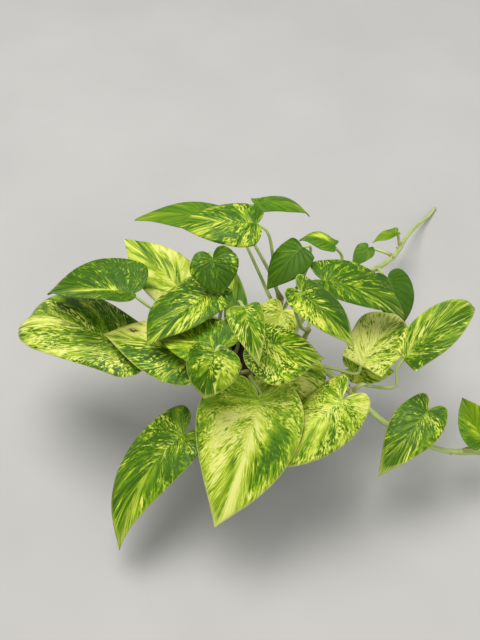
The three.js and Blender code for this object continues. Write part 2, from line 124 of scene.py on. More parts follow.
RIB_END_POWER = 5
RIBS_FROM_MIDRIB = (0.02, 0.2)
RIBS_FROM_BASE = (0.05, 0.3)
MIDRIB_DEPTH = 0.5
MIDRIB_WIDTH = 1.5

# Stalks
STALK_ROOT_RADIUS = 1.7
STALK_TOP_RADIUS = 1.15
STALK_SIDES = 14
STALK_STEPS = 36
LEAVE_SLOPE = 0.5
LEAVE_RISE = 0.6
LEAVE_SHARE = 0.22
KNEE_BACK = 0.12
KNEE_DROP = 0.1
KNEE_SWELL = 0.16
KNEE_LENGTH = 3
SHEATH_SWELL = 0.35
SHEATH_LENGTH = 5
SHEATH_RUST = 0.6
SHEATH_RUST_LENGTH = 8
CHANNEL_DEPTH = 0.22
CHANNEL_WIDTH = 0.5
KEEL_STEPS = 14
KEEL_REACH = 0.86
KEEL_END_RADIUS = 0.35
KEEL_SINK = 0.12

# Tubes: stalks and stems. TUBE_LAYER is where in the noise their grain lies, and a tube that starts
# more upright than STEEP takes +Y for its upper side.
TUBE_END_BULGE = 0.4
TUBE_LAYER = 9.0
STEEP = 0.9

# Stems, and the stubs of air roots on them
STEM_RADIUS = 2.5
STEM_END_RADIUS = 1.5
STEM_SIDES = 20
STEM_STEP = 1.6
NODE_SWELL = 0.22
NODE_LENGTH = 5
NODE_RUST = 0.12
RING_SWELL = 0.09
RING_LENGTH = 0.7
RING_BACK = 3.5
RING_RUST = 0.5
STUB_LENGTH = 3.2
STUB_RADIUS = 0.75
STUB_TAPER = 1 / 6
STUB_STEPS = 4
STUB_SIDES = 8
STUB_SHARE = 0.98
STUB_BACK = 2.5
STUB_SINK = 0.6
STUB_LEAN = 0.3
STUB_TILT = 0.2
STUB_TURN = 2.1
STEMS = {
    "stem_left": [(-19, 5, 50), (-20, 7, 77), (-25, 16, 95), (-30, 16, 112)],
    "stem_back_left": [(-10, 30, 50), (-11, 31, 77), (-15, 45, 98), (-18, 54, 118)],
    "stem_back": [(12, 32, 50), (12, 34, 77), (14, 49, 98), (17, 59, 116)],
    "stem_front": [(-6, -15, 50), (-6, -14, 77), (-9, -6, 94), (-12, -9, 106)],
    "stem_front_right": [(26, -2, 50), (27, 0, 77), (29, 9, 92), (31, 10, 105)],
    "stem_right": [(29, 16, 50), (30, 17, 77), (34, 27, 98), (38, 26, 116)],
    "vine_right": [
        (34, -4, 50), (35, -3, 77), (46, 1, 96), (66, -9, 88), (90, -21, 67), (104, -31, 62),
        (142, -50, 57), (180, -47, 46), (212, -40, 31), (240, -26, 11), (258, -12, 1.9),
    ],
    "vine_back": [
        (20, 26, 50), (22, 28, 77), (27, 40, 94), (39, 58, 99), (60, 84, 98), (90, 117, 84),
        (111, 142, 66), (124, 162, 54), (135, 182, 43), (154, 226, 24), (173, 260, 10),
        (185, 276, 4), (195, 292, 1.9),
    ],
}

# Leaves: name, stem, how far along it the stalk leaves it, the notch, where stalk and blade meet,
# and the blade's length and width. "via" is the points that the stalk passes. "heading" is the way
# the tip points seen from above (0 is +X, 90 is +Y), "pitch" the slope of the midrib at the notch,
# "droop" how far it bends down by the tip, "hang" how late it does so, "sway" how far it bends
# sideways, and "roll" how far the left side is raised. "fold" is the slope of each half beside the
# midrib, and "curl" how far the halves bend back down. "lobe" scales the lobes behind the notch,
# "taper" narrows the tip end, "blunt" fills it out, and "skew" widens the left half and narrows the
# right. "finish" is the record's material slot.
# "pale" is how much of the blade is lime or cream, and "grains" the strengths of the broad, narrow
# and finest markings, which run along the side ribs. "yellow" turns the pale parts from cream to
# yellow, "deep" darkens the green, and "rim" and "midrib" are the strengths of the pale lines round
# the margin and along the midrib. The line round the margin is partly the margin's own paler colour
# and partly painted glow, standing in for light that shines through the thin edge. Each of
# "patches" is a soft patch: its place and half width from the base at 0 to the tip at 1, its place
# and half width from the midrib at 0 to the left margin at 1 or the right at -1, and how much paler
# it is. "rust" lists brown spots in the same way.
PLAIN_LEAF = dict(
    via=[], roll=0, sway=0, hang=1.25, lobe=1, taper=0, blunt=0, skew=0, finish="leaf_marbled",
    yellow=0.4, deep=0.2, rim=0.08, midrib=0.12, patches=[], rust=[],
)


def leaf(name, stem, start, at, length, width, **more):
    given = dict(name=name, stem=stem, start=start, at=at, length=length, width=width)
    return {**PLAIN_LEAF, **given, **more}


LEAVES = [
    leaf("leaf_back_1", "stem_back", 0.8, (-31.1, 119.8, 150.5), 84, 38, heading=167, pitch=1,
         droop=30, roll=6, fold=10, curl=24, via=[(-2, 90, 116)], finish="leaf_green", pale=0.3,
         grains=(0.12, 0.16, 0.08), deep=0.1, yellow=0.8, patches=[(0.95, 0.15, 0, 1, 0.25)]),
    leaf("leaf_back_2", "stem_back", 1, (-4.1, 86.2, 177.6), 67, 46, heading=175, pitch=5, droop=34,
         roll=-8, fold=8, curl=40, lobe=0.5, via=[(10, 77, 136)], pale=0.4, grains=(0.35, 0.5, 0.5),
         yellow=0.9, patches=[(0.75, 0.25, 0.9, 0.5, 0.25), (0.3, 0.3, -0.3, 0.6, -0.12)]),
    leaf("leaf_back_3", "stem_back", 0.88, (-4, 133, 156), 54, 28, heading=11, pitch=6, droop=66,
         roll=-12, fold=8, curl=40, lobe=0.5, finish="leaf_green", pale=0.24,
         grains=(0.1, 0.2, 0.1), yellow=0.9, deep=0.1, patches=[(0.95, 0.15, 0, 1, 0.4)]),
    leaf("leaf_top_1", "stem_back_left", 0.8, (-38.9, 36.6, 189.4), 30, 39, heading=-74, pitch=-32,
         droop=34, roll=14, fold=12, curl=20, lobe=1.8, taper=0.2, finish="leaf_green", pale=0.16,
         grains=(0.12, 0.25, 0.55), deep=0.35, midrib=0.06),
    leaf("leaf_top_2", "stem_left", 1, (-36.8, 25, 164.5), 69, 60, heading=-143, pitch=1, droop=34,
         roll=6, fold=14, curl=46, skew=-0.3, pale=0.32, grains=(0.35, 0.55, 0.6), yellow=0.9,
         deep=0.4, rim=0.15, patches=[(0.95, 0.08, 0, 1, 0.45)]),
    leaf("leaf_back_4", "stem_back_left", 0.6, (-61, 52, 128), 77, 50, heading=137, pitch=18,
         droop=16, fold=10, curl=16, finish="leaf_pale", pale=0.66, grains=(0.45, 0.38, 0.2),
         yellow=0.3),
    leaf("leaf_left_1", "stem_left", 0.8, (-101.8, 33.7, 151.5), 82, 66, heading=162, pitch=-2,
         droop=34, roll=12, fold=26, curl=8, lobe=0.6, skew=0.05, finish="leaf_green", pale=0.18,
         grains=(0.15, 0.2, 0.5), yellow=0.8, deep=0.4,
         patches=[(0.67, 0.06, 0.4, 0.4, 0.7), (0.59, 0.05, 0.05, 0.16, 0.6),
             (0.78, 0.05, 0.3, 0.3, 0.4)]),
    leaf("leaf_left_2", "stem_left", 0.56, (-100.7, -2.4, 122), 124, 60, heading=150, pitch=3,
         droop=70, hang=3, fold=10, curl=26, taper=-1, blunt=0.5, pale=0.44,
         grains=(0.35, 0.3, 0.85), yellow=0.35, deep=0.3, rim=0.4,
         patches=[(0.82, 0.16, 0.6, 0.45, 0.4), (0.5, 0.4, -0.6, 0.6, -0.17),
             (0.47, 0.12, 0.7, 0.3, 0.2), (0.12, 0.25, 0.6, 0.6, -0.17)]),
    leaf("leaf_left_3", "stem_left", 0.68, (-51.1, -17.8, 135.4), 81, 60, heading=161, pitch=5,
         droop=20, roll=-8, fold=12, curl=20, taper=0.35, pale=0.42, grains=(0.3, 0.25, 0.9),
         yellow=0.6, deep=0.3, rim=0.55,
         patches=[(0.75, 0.24, -0.8, 0.5, 0.6), (0.4, 0.3, 0.6, 0.5, -0.1)],
         rust=[(0.74, 0.026, -0.78, 0.08, 2), (0.67, 0.016, -0.9, 0.05, 1.2),
             (0.69, 0.014, -0.6, 0.04, 1.2)]),
    leaf("leaf_front_1", "stem_front", 1, (-35.6, -40, 172.2), 38, 43, heading=-112, pitch=-32,
         droop=44, fold=8, curl=40, lobe=0.8, via=[(-18, -26, 138)], pale=0.36,
         grains=(0.3, 0.22, 0.8), yellow=0.6, deep=0.25, rim=0.55,
         patches=[(0.9, 0.15, 0, 1, -0.2), (0.55, 0.15, 0.3, 0.4, 0.12)]),
    leaf("leaf_left_4", "stem_left", 0.92, (-31.7, -26.9, 155.6), 60, 46, heading=149, pitch=-6,
         droop=20, fold=16, curl=10, pale=0.3, grains=(0.3, 0.5, 0.4), yellow=1.0, deep=0),
    leaf("leaf_top_3", "stem_back_left", 0.5, (-15, -10, 186), 46, 29, heading=-73, pitch=-20,
         droop=34, fold=22, curl=30, lobe=0.25, taper=0.5, skew=-0.1, finish="leaf_green", pale=0.4,
         grains=(0.15, 0.15, 0.85), yellow=0.1, rim=0.45),
    leaf("leaf_top_4", "stem_front_right", 1, (-1, -15, 150), 53, 60, heading=1, pitch=-12,
         droop=24, fold=10, curl=20, lobe=2.4, taper=0.5, skew=-0.3, pale=0.42,
         grains=(0.2, 0.2, 1.1), yellow=0.6, deep=0.25, rim=0.45),
    leaf("leaf_back_5", "stem_back", 0.7, (17, 36, 128), 40, 38, heading=-134, pitch=-34, droop=20,
         fold=14, curl=20, finish="leaf_pale", pale=0.8, grains=(0.25, 0.3, 0.4), rim=0.5),
    leaf("leaf_right_1", "stem_right", 1, (28.8, 18, 170.2), 60, 42, heading=-32, pitch=-17,
         droop=36, roll=-8, fold=14, curl=34, lobe=1.4, taper=0.2, pale=0.25,
         grains=(0.3, 0.34, 0.75), yellow=0.8, deep=0.4, rim=0.55,
         patches=[(0.6, 0.3, -0.75, 0.25, 0.3), (0.54, 0.2, 0.8, 0.4, -0.15),
             (0.15, 0.2, 0, 1, 0.12)]),
    leaf("leaf_right_2", "stem_right", 0.82, (48.4, 53.4, 146.3), 87, 42, heading=-8, pitch=-3,
         droop=62, roll=6, fold=16, curl=30, skew=0.14, pale=0.22, grains=(0.2, 0.45, 0.65),
         deep=0.3),
    leaf("leaf_right_3", "vine_right", 0.155, (80, 3, 98), 66, 43, heading=57, pitch=10, droop=24,
         roll=4, fold=10, curl=20, lobe=0.1, taper=-0.8, blunt=0.6, skew=-0.05, finish="leaf_pale",
         pale=0.88, grains=(0.3, 0.4, 0.7), yellow=0.3, deep=0.3, rim=0.5,
         patches=[(0.35, 0.35, -0.75, 0.5, -0.4), (0.1, 0.15, 0, 1, -0.15)]),
    leaf("leaf_right_4", "vine_right", 0.27, (111, -5, 118), 75, 37, heading=33, pitch=30, droop=80,
         hang=5, fold=20, curl=10, lobe=0.1, taper=-0.3, blunt=0.4, skew=-0.15,
         via=[(88, -4, 80), (107, -13, 92)], pale=0.38, grains=(0.3, 0.5, 0.6), yellow=0.5,
         deep=0.35, rim=0.3, patches=[(0.6, 0.6, 0.6, 0.6, 0.3), (0.5, 0.6, -0.6, 0.5, -0.25)]),
    leaf("leaf_right_5", "vine_right", 0.23, (74.3, 17.6, 75.3), 41, 34, heading=5, pitch=-5,
         droop=20, fold=10, curl=20, finish="leaf_green", pale=0.64, grains=(0.3, 0.4, 0.5),
         yellow=0.9, deep=0.1),
    leaf("leaf_vine_back_1", "vine_back", 0.5, (113, 106, 92), 46, 42, heading=-70, pitch=-17,
         droop=40, fold=8, curl=30, finish="leaf_green", pale=0.1, grains=(0.1, 0.15, 0.1),
         deep=0.4, yellow=1.0, rim=0.05),
    leaf("leaf_vine_back_2", "vine_back", 0.62, (107, 182, 52), 23, 20, heading=-139, pitch=-20,
         droop=26, fold=10, curl=20, finish="leaf_green", pale=0.22, grains=(0.1, 0.15, 0.1),
         deep=0.1),
    leaf("leaf_vine_back_3", "vine_back", 0.7, (138, 209, 46), 26, 13, heading=-161, pitch=-4,
         droop=20, fold=20, curl=10, finish="leaf_green", pale=0.4, grains=(0.1, 0.15, 0.1),
         yellow=0.8, deep=0.1),
    leaf("leaf_back_6", "stem_back", 0.7, (32.9, 77.9, 159.2), 46, 35, heading=-143, pitch=-25,
         droop=30, fold=8, curl=30, lobe=0.2, via=[(37, 79, 128)], finish="leaf_green", pale=0.14,
         grains=(0.12, 0.15, 0.12), deep=0.3, rim=0.05),
    leaf("leaf_back_7", "vine_back", 0.13, (61, 92, 147), 33, 22, heading=163, pitch=32, droop=80,
         roll=8, fold=8, curl=40, lobe=0.5, pale=0.24, grains=(0.1, 0.2, 0.1), yellow=0.9, deep=0.1,
         patches=[(0.66, 0.16, -0.4, 0.45, 0.65)]),
    leaf("leaf_front_2", "stem_front", 0.75, (19.2, -12.4, 118.3), 42, 58, heading=-75, pitch=-29,
         droop=30, fold=10, curl=20, pale=0.7, grains=(0.35, 0.45, 0.4), yellow=0.5),
    leaf("leaf_front_3", "stem_front", 0.65, (-61.1, -55.7, 88.2), 107, 60, heading=-148, pitch=-20,
         droop=34, sway=38, roll=4, fold=10, curl=30, taper=0.35, skew=-0.12, via=[(-36, -38, 98)],
         pale=0.29, grains=(0.2, 0.36, 0.55), yellow=0.6, deep=0.35, rim=0.4,
         patches=[(0.36, 0.06, -0.85, 0.3, 0.4), (0.62, 0.35, 0.22, 0.3, 0.2),
             (0.82, 0.2, 0.8, 0.3, 0.3), (0.5, 0.1, -0.5, 0.5, -0.15)],
         rust=[(0.66, 0.05, -1, 0.1, 0.7)]),
    leaf("leaf_front_4", "stem_front", 0.86, (-3.3, -46.7, 124.3), 105, 84, heading=-104, pitch=-27,
         droop=22, sway=-16, roll=-2, fold=6, curl=16, taper=0.3, skew=-0.08, via=[(-10, -24, 119)],
         pale=0.63, grains=(0.15, 0.18, 0.42), yellow=0.3, deep=0.15, rim=0.65,
         patches=[(0.47, 0.08, -0.35, 0.2, 0.25), (0.56, 0.08, -0.55, 0.2, 0.25),
             (0.65, 0.1, -0.76, 0.18, 0.25), (0.5, 0.2, -1, 0.2, -0.3), (0.73, 0.2, 0.1, 0.2, 0.35),
             (0.84, 0.1, 0.5, 0.5, 0.4), (0.58, 0.14, 0.65, 0.22, -0.55),
             (0.8, 0.12, -0.35, 0.15, -0.15), (0.13, 0.22, 0, 1.3, -0.2)]),
    leaf("leaf_front_5", "vine_right", 0.3, (59.5, -47.2, 122.8), 80, 62, heading=-143, pitch=-16,
         droop=16, fold=0, curl=56, lobe=1.5, skew=-0.1, pale=0.7, grains=(0.25, 0.26, 0.65),
         yellow=0.5, rim=0.65, patches=[(0.15, 0.25, 0, 1.2, -0.14)]),
    leaf("leaf_vine_right_1", "vine_right", 0.44, (131, -34, 88), 66, 42, heading=-133, pitch=-18,
         droop=20, fold=8, curl=26, lobe=1.2, taper=0.3, pale=0.23, grains=(0.2, 0.35, 0.65),
         yellow=0.6, deep=0.35, rim=0.5, patches=[(0.6, 0.3, 0.15, 0.15, 0.25)]),
    leaf("leaf_vine_right_2", "vine_right", 0.62, (178, -46, 62), 39, 32, heading=114, pitch=25,
         droop=16, roll=-20, fold=30, curl=10, finish="leaf_pale", pale=0.4, grains=(0.2, 0.2, 0.2),
         yellow=0.5, deep=0.1),
    leaf("leaf_back_8", "stem_left", 0.72, (-20.5, 18, 127), 56, 20, heading=92, pitch=15, droop=14,
         roll=-10, fold=12, curl=20, lobe=0.2, pale=0.24, grains=(0.3, 0.6, 0.3), yellow=1.0,
         rim=0.3, patches=[(0.6, 0.3, 0.95, 0.25, 0.45)]),
]

# Colours, in linear light
DEEP_GREEN = (0.024, 0.074, 0.0015)
LEAF_GREEN = (0.08, 0.205, 0.003)
YELLOW_GREEN = (0.21, 0.345, 0.007)
LIME = (0.47, 0.58, 0.045)
CREAM = (0.78, 0.8, 0.27)
YELLOW = (0.64, 0.67, 0.07)
UNDERSIDE = (0.22, 0.33, 0.08)
BROWN_SPOT = (0.09, 0.045, 0.015)
STALK_GREEN = (0.3, 0.45, 0.07)
STALK_PALE = (0.6, 0.66, 0.26)
STALK_RUST = (0.3, 0.13, 0.03)
ROOT_BROWN = (0.16, 0.09, 0.04)
SOIL_DARK = (0.02, 0.013, 0.009)
SOIL_BROWN = (0.085, 0.056, 0.036)
BARK = (0.13, 0.065, 0.032)
PERLITE = (0.66, 0.64, 0.6)
POT_BLACK = (0.009, 0.009, 0.01)
POT_WORN = (0.03, 0.03, 0.031)
FLOOR_PALE = (0.5, 0.495, 0.48)
FLOOR_CLOUD = (0.46, 0.4554, 0.4416)

# How markings are drawn. A grain is its width across and along the side ribs, in millimetres, and
# its detail. A drift is the scale of a noise and how far it moves the grains. OUTLINE_SHARE is the
# length of the margin beside the midrib's. A line is the distances where it is full and where it
# ends.
OUTLINE_SHARE = 1.25
SEED_STEP = 7.3
HALVES_APART = 311.0
DRIFTS = ((0.05, 14), (0.3, 1.8))
GRAINS = ((11, 26, 1), (2.2, 8, 5), (1.1, 2.6, 3))
GRAIN_ROUGHNESS = 0.6
SWING = 4.7
CROWD_SCALE = 0.09
CROWD_RANGE = (0.36, 0.62, 0.3, 1.3)
COLOUR_PLACES = (0, 0.24, 0.5, 0.7, 0.95)
DARKEST_SHARE = 0.6
MIDRIB_LINE = (0.2, 0.8)
MIDRIB_GREEN = 0.35
# The pale line round the margin: partly the margin's own colour, partly painted glow of light
# through the thin edge.
RIM_LINE = (0.15, 0.8)
UNDERSIDE_SHARE = 0.55
UNDERSIDE_DULLNESS = 0.2
LEAF_SPECULAR = 0.18

# The range that most of a noise's values lie in
NOISE_RANGE = (0.3, 0.7)

# Curves
CURVE_SAMPLES = 400
UP = np.array((0.0, 0.0, 1.0))


def unit(vector):
    return vector / np.linalg.norm(vector)


# A point of the centripetal Catmull-Rom curve through points, at a share of its spans.
def curve_point(points, share):
    points = np.asarray(points, float)
    spans = len(points) - 1
    place = min(share * spans, spans - 1e-9)
    i = int(place)
    w = place - i
    b, c = points[i], points[i + 1]
    a = points[i - 1] if i > 0 else 2 * b - c
    d = points[i + 2] if i + 2 <= spans else 2 * c - b
    before, here, after = (math.dist(p, q) ** 0.5 for p, q in ((a, b), (b, c), (c, d)))
    leave = ((b - a) / before - (c - a) / (before + here) + (c - b) / here) * here
    arrive = ((c - b) / here - (d - b) / (here + after) + (d - c) / after) * here
    cubic = 2 * b - 2 * c + leave + arrive
    square = -3 * b + 3 * c - 2 * leave - arrive
    return ((cubic * w + square) * w + leave) * w + b


# Points at equal distances along such a curve, and its length.
def spaced_points(points, steps):
    fine = np.array([curve_point(points, i / CURVE_SAMPLES) for i in range(CURVE_SAMPLES + 1)])
    runs = np.concatenate(([0], np.cumsum(np.linalg.norm(np.diff(fine, axis=0), axis=1))))
    stops = np.linspace(0, runs[-1], steps + 1)
    return np.stack([np.interp(stops, runs, fine[:, k]) for k in range(3)], axis=1), runs[-1]


# A bump of height 1 at 0, that falls away over a width.
def bump(distance, width):
    return np.exp(-((distance / width) ** 2))


# 0 below low, 1 above high, and a smooth step between.
def smooth_step(value, low, high):
    share = np.clip((value - low) / (high - low), 0, 1)
    return share * share * (3 - 2 * share)


# Vertices and faces gathered in millimetres for one object, which stands for the CAD node of its
# name. "vein" holds each vertex's place across and along the grain and its distance from the
# margin, "pale" and "rust" its own colouring, and "face" is 1 on an upper side and 0 on an
# underside.
class Part:
    def __init__(self):
        self.points = []
        self.faces = []
        self.slots = []
        self.marks = {"vein": [], "pale": [], "rust": [], "face": []}

    def add(self, points, faces, slot=0, vein=None, **marks):
        first = len(self.points)
        self.points.extend(map(tuple, points))
        self.faces.extend(tuple(first + v for v in face) for face in faces)
        self.slots.extend([slot] * len(faces))
        self.marks["vein"].extend(map(tuple, np.zeros((len(points), 3)) if vein is None else vein))
        for name in ("pale", "rust", "face"):
            self.marks[name].extend(np.broadcast_to(marks.get(name, 0), len(points)))

    def finish(self, name, materials, slot):
        mesh = bpy.data.meshes.new(name)
        mesh.from_pydata([(x * MM, y * MM, z * MM) for x, y, z in self.points], [], self.faces)
        mesh.polygons.foreach_set("material_index", self.slots)
        mesh.polygons.foreach_set("use_smooth", [True] * len(self.faces))
        for mark, values in self.marks.items():
            if mark == "vein":
                attribute = mesh.attributes.new(mark, "FLOAT_VECTOR", "POINT")
                attribute.data.foreach_set("vector", np.asarray(values, np.float32).ravel())
            else:
                attribute = mesh.attributes.new(mark, "FLOAT", "POINT")
                attribute.data.foreach_set("value", np.asarray(values, np.float32))
        for material in materials:
            mesh.materials.append(material)
        mesh.update()
        piece = bpy.data.objects.new(name, mesh)
        bpy.context.scene.collection.objects.link(piece)
        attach(piece, "root")
        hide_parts(name)
        return piece


# A round tube with closed, rounded ends through points, with a radius at each. "channel" is the
# depth of a groove along its upper side, as a share of the radius.
def add_tube(part, points, radii, sides, slot=0, channel=0, rust=0):
    last = len(points) - 1
    angles = np.arange(sides) * 2 * math.pi / sides
    groove = 1 - channel * bump(np.minimum(angles, 2 * math.pi - angles), CHANNEL_WIDTH)
    steep = abs(unit(points[1] - points[0])[2]) >= STEEP
    above = np.array((0.0, 1.0, 0.0)) if steep else UP
    rings = []
    veins = []
    runs = np.concatenate(([0], np.cumsum(np.linalg.norm(np.diff(points, axis=0), axis=1))))
    for i, point in enumerate(points):
        along = unit(points[min(i + 1, last)] - points[max(i - 1, 0)])
        above = unit(above - along * np.dot(above, along))
        beside = np.cross(along, above)
        spokes = np.outer(np.cos(angles), above) + np.outer(np.sin(angles), beside)
        rings.append(point + spokes * (radii[i] * groove)[:, None])
        vein = np.tile((0, runs[i], TUBE_LAYER), (sides, 1))
        vein[:, 0] = np.abs(angles - math.pi) * radii[i]
        veins.append(vein)
    faces = []
    for i in range(last):
        for k in range(sides):
            low, high = i * sides, (i + 1) * sides
            faces.append((low + k, low + (k + 1) % sides, high + (k + 1) % sides, high + k))
    ends = [points[0] - unit(points[1] - points[0]) * radii[0] * TUBE_END_BULGE]
    ends.append(points[last] + unit(points[last] - points[last - 1]) * radii[last] * TUBE_END_BULGE)
    foot = len(points) * sides
    for k in range(sides):
        faces.append((foot, (k + 1) % sides, k))
        faces.append((foot + 1, last * sides + k, last * sides + (k + 1) % sides))
    everything = np.concatenate([*rings, np.array(ends)])
    veins = np.concatenate([*veins, np.array([(0, 0, TUBE_LAYER), (0, runs[-1], TUBE_LAYER)])])
    rusty = np.append(np.repeat(np.broadcast_to(rust, last + 1), sides), [0, 0])
    part.add(everything, faces, slot, veins, rust=rusty, face=1)


# The blade's frame at its notch: along the midrib, to the left of it, and out of the upper face.
def notch_frame(leaf):
    heading = math.radians(leaf["heading"])
    pitch = math.radians(leaf["pitch"])
    roll = math.radians(leaf["roll"])
    reach = math.cos(pitch)
    along = np.array((reach * math.cos(heading), reach * math.sin(heading), math.sin(pitch)))
    level = unit(np.cross(UP, along))
    left = level * math.cos(roll) + np.cross(along, level) * math.sin(roll)
    return along, left, np.cross(along, left)


# The midrib's points and frames at distances from the notch. Behind the notch it is the line that
# the lobes follow.
def midrib_frame(leaf, distance):
    along, left, out = notch_frame(leaf)
    distance = np.asarray(distance, float)[..., None]
    ahead = np.maximum(distance, 0)
    behind = np.minimum(distance, 0)
    lift = math.radians(LOBE_LIFT)

    def direction_at(share):
        bend = math.radians(leaf["droop"]) * share ** leaf["hang"]
        turn = math.radians(leaf["sway"]) * share
        level = along * np.cos(turn) + left * np.sin(turn)
        across = left * np.cos(turn) - along * np.sin(turn)
        return level * np.cos(bend) - out * np.sin(bend), across

    notch = np.array(leaf["at"], float)
    point = notch + along * behind * math.cos(lift) - out * behind * math.sin(lift)
    step = ahead / MIDRIB_STEPS
    for i in range(MIDRIB_STEPS):
        point = point + direction_at((i + 0.5) * step / leaf["length"])[0] * step
    forward, across = direction_at(ahead / leaf["length"])
    return point, forward, across, np.cross(forward, across)


MARGIN_SHARES = np.linspace(0, 1, MARGIN_SAMPLES + 1)
MARGIN_POINTS = np.array([curve_point(MARGIN, share) for share in MARGIN_SHARES])


# The margin's distance along the midrib and out from it, at a share of the way from notch to tip.
def margin_at(leaf, share, side):
    x = np.interp(share, MARGIN_SHARES, MARGIN_POINTS[:, 0])
    y = np.interp(share, MARGIN_SHARES, MARGIN_POINTS[:, 1])
    half = leaf["width"] / 2 * (1 + side * leaf["skew"])
    narrowing = 1 - leaf["taper"] * np.maximum(x, 0) ** TAPER_POWER
    filled = np.abs(x) ** (1 / (1 + leaf["blunt"]))
    forward = np.where(x < 0, x * leaf["lobe"], filled)
    return leaf["length"] * forward, half * y * narrowing


# Points of the flat blade: "row" runs from the sinus at 0 to the tip at 1, "column" from the midrib
# at 0 to the margin at 1. It gives the distances along the midrib, out from it, and inwards from
# the margin.
def flat_points(leaf, row, column, side):
    root = leaf["length"] * row**RIB_CROWDING
    along, out = margin_at(leaf, SINUS_SHARE + (1 - SINUS_SHARE) * row, side)
    sinus_along, sinus_out = margin_at(leaf, SINUS_SHARE * column, side)
    in_sinus = row == 0
    distance = np.where(in_sinus, sinus_along, root + (along - root) * column**RIB_SWEEP)
    reach = np.where(in_sinus, sinus_out, out * column)
    inwards = np.minimum((1 - column) * out, row * leaf["length"])
    return distance, reach, inwards


# The blade's middle surface on a grid, with the way out of its upper face.
def blade_surface(leaf, row, column, side):
    distance, reach, inwards = flat_points(leaf, row, column, side)
    point, _, left, out = midrib_frame(leaf, distance)
    half = leaf["width"] / 2
    fold = math.radians(leaf["fold"])
    curl = math.radians(leaf["curl"])
    slope = fold - curl * reach / half
    phase = 2 * math.pi * WAVES_PER_SIDE * row + WAVE_OFFSET * side + leaf["length"]
    wave = WAVE_HEIGHT * column**2 * np.sqrt(1 - row) * np.sin(phase)
    sideways = side * half * (math.sin(fold) - np.sin(slope)) / curl
    upwards = half * (np.cos(slope) - math.cos(fold)) / curl + wave
    point = point + left * sideways[..., None] + out * upwards[..., None]
    normal = out * np.cos(slope)[..., None] - left * (side * np.sin(slope))[..., None]
    return point, normal, reach, inwards


# The faces of a blade: two sheets on a grid, each with a last point at the tip, and the band that
# joins them round the margin. "count" is the number of points in a sheet.
def blade_faces(columns, count):
    tip = count - 1
    quads = []
    for i in range(BLADE_ROWS - 1):
        low, high = i * columns, (i + 1) * columns
        for j in range(columns - 1):
            quads.append((low + j, low + j + 1, high + j + 1, high + j))
    low = (BLADE_ROWS - 1) * columns
    quads.extend((low + j, low + j + 1, tip) for j in range(columns - 1))
    right = [i * columns + columns - 1 for i in range(1, BLADE_ROWS)]
    left = [i * columns for i in range(BLADE_ROWS - 1, 0, -1)]
    loop = [*range(columns), *right, tip, *left]
    faces = list(quads)
    faces.extend(tuple(count + v for v in reversed(face)) for face in quads)
    faces.extend((a, count + a, count + b, b) for a, b in zip(loop, loop[1:] + loop[:1]))
    return faces


# Soft patches added up over a blade.
def patched(patches, row, sideways):
    total = np.zeros(row.shape)
    for place, width, out, out_width, amount in patches:
        total += amount * bump(row - place, width) * bump(sideways - out, out_width)
    return total


# The blade: two sheets on a grid of ribs, joined round the margin, with sunk side ribs and midrib.
def add_blade(part, leaf):
    size = min(1, leaf["width"] / FULL_RELIEF_WIDTH)
    spread = np.linspace(-1, 1, 2 * BLADE_COLUMNS + 1)
    row, across = np.meshgrid(np.arange(BLADE_ROWS) / BLADE_ROWS, spread, indexing="ij")
    side = np.where(across < 0, 1, -1)
    column = np.abs(across) ** COLUMN_CROWDING
    point, normal, reach, inwards = blade_surface(leaf, row, column, side)
    tip_point, tip_normal, _, _ = blade_surface(leaf, np.ones(1), np.zeros(1), np.ones(1))

    ribs = np.cos(2 * math.pi * RIBS_PER_SIDE * row + RIB_OFFSET * side)
    ribs = (0.5 + 0.5 * ribs) ** RIB_SHARPNESS
    fade = smooth_step(column, *RIBS_FROM_MIDRIB) * (1 - column**RIB_END_POWER)
    fade = fade * smooth_step(row, *RIBS_FROM_BASE)
    relief = -RIB_DEPTH * size * ribs * fade
    crease = -MIDRIB_DEPTH * size * bump(reach, MIDRIB_WIDTH * size) * np.sqrt(1 - row)
    thickness = BLADE_THICKNESS / 2 * (1 - RIM_THINNING * column**RIM_POWER)
    sheets = []
    for sign, sunk in ((1, relief + crease), (-1, relief)):
        sheet = point + normal * (sunk + sign * thickness)[..., None]
        end = tip_point + sign * tip_normal * BLADE_THICKNESS / 2 * (1 - RIM_THINNING)
        sheets.append(np.concatenate([sheet.reshape(-1, 3), end]))

    # The blade is darker along the sunk side ribs: partly the veins' own colour, partly painted
    # shade in the grooves.
    pale = leaf["pale"] - RIB_VEIN_AND_PAINTED_SHADE * ribs * fade + patched(leaf["patches"], row, side * column)
    rust = patched(leaf["rust"], row, side * column)
    vein = np.stack([row * leaf["length"] * OUTLINE_SHARE, side * reach, inwards], axis=-1)
    vein = np.concatenate([vein.reshape(-1, 3), [[leaf["length"] * OUTLINE_SHARE, 0, 0]]])
    count = len(vein)
    part.add(
        np.concatenate(sheets),
        blade_faces(len(spread), count),
        vein=np.tile(vein, (2, 1)),
        pale=np.tile(np.append(pale, leaf["pale"]), 2),
        rust=np.tile(np.append(rust, 0), 2),
        face=np.repeat((1.0, 0.0), count),
    )


